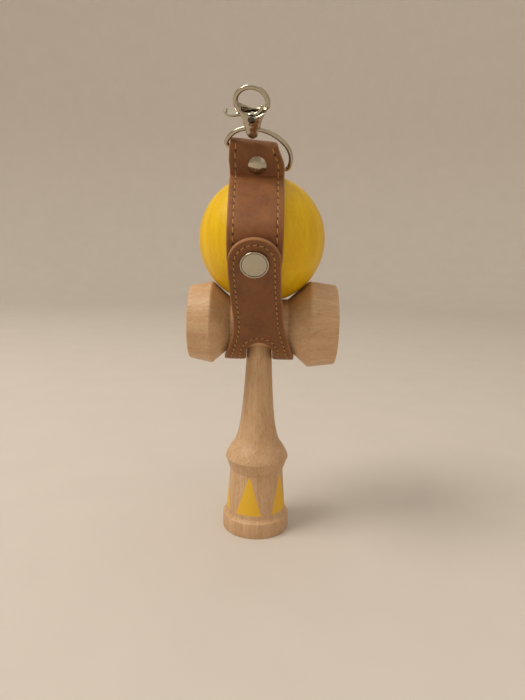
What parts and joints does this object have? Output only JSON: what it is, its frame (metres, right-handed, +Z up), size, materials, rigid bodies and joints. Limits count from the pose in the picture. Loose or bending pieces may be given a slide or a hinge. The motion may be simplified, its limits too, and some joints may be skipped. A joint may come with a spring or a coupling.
{
  "type": "kendama in a leather holster",
  "caption": "Wooden kendama with its yellow ball on the spike, strapped into a sewn leather holster with a snap flap, a wire ring and a trigger clasp.",
  "frame": {"origin": "middle of the base rim, on the plane that the toy stands on", "axes": "+Z up along the handle towards the spike, +X towards the big cup, the flap faces -Y"},
  "size_m": [0.0706, 0.0751, 0.2045],
  "materials": {
    "beech": "smooth sanded beech",
    "yellow_stain": "yellow stained wood under thin lacquer",
    "leather": "brown vegetable tanned leather",
    "lining": "suede side of brown leather",
    "nickel": "nickel plated"
  },
  "bodies": {
    "holster": {"ken": "beech", "sarado": "beech", "holster_outer": "leather", "holster_lining": "lining", "rivet_cap": "nickel", "rivet_back": "nickel"},
    "ball": {"tama": "yellow_stain"},
    "flap": {"flap_outer": "leather", "flap_lining": "lining", "snap_cap": "nickel", "snap_socket": "nickel"},
    "front_strap": {"front_strap_outer": "leather", "front_strap_lining": "lining", "snap_stud": "nickel", "snap_post": "nickel"},
    "ring": {"d_ring": "nickel"},
    "clasp": {"clasp_body": "nickel", "clasp_pin": "nickel", "clasp_spring": "nickel"},
    "trigger": {"clasp_trigger": "nickel"}
  },
  "joints": [
    {"name": "tama_spin", "type": "hinge", "parent": "holster", "child": "ball", "pos_m": [0, 0, 0.14711], "axis": [0, 0, 1], "continuous": true},
    {"name": "flap_open", "type": "hinge", "parent": "holster", "child": "flap", "pos_m": [0, -0.01855, 0.1036], "axis": [1, 0, 0], "range_deg": [0, 130]},
    {"name": "strap_lift", "type": "hinge", "parent": "holster", "child": "front_strap", "pos_m": [0, -0.01887, 0.17375], "axis": [-1, 0, 0], "range_deg": [0, 58.5]},
    {"name": "ring_swing", "type": "hinge", "parent": "holster", "child": "ring", "pos_m": [-0.0029, -0.01837, 0.18165], "axis": [0.9336, 0.1682, -0.3164], "range_deg": [-85, 18]},
    {"name": "clasp_swing", "type": "hinge", "parent": "ring", "child": "clasp", "pos_m": [-0.00483, -0.02787, 0.1915], "axis": [0.9937, -0.0901, -0.0664], "range_deg": [-40, 30]},
    {"name": "trigger_press", "type": "hinge", "parent": "clasp", "child": "trigger", "pos_m": [-0.00496, -0.03193, 0.19506], "axis": [-0.1093, -0.6535, -0.749], "range_deg": [0, 26], "stiffness_Nm_per_rad": 0.004, "springref_deg": -11.46}
  ],
  "couplings": [
    {"joint": "strap_lift", "follows": "flap_open", "ratio": 0.45}
  ]
}
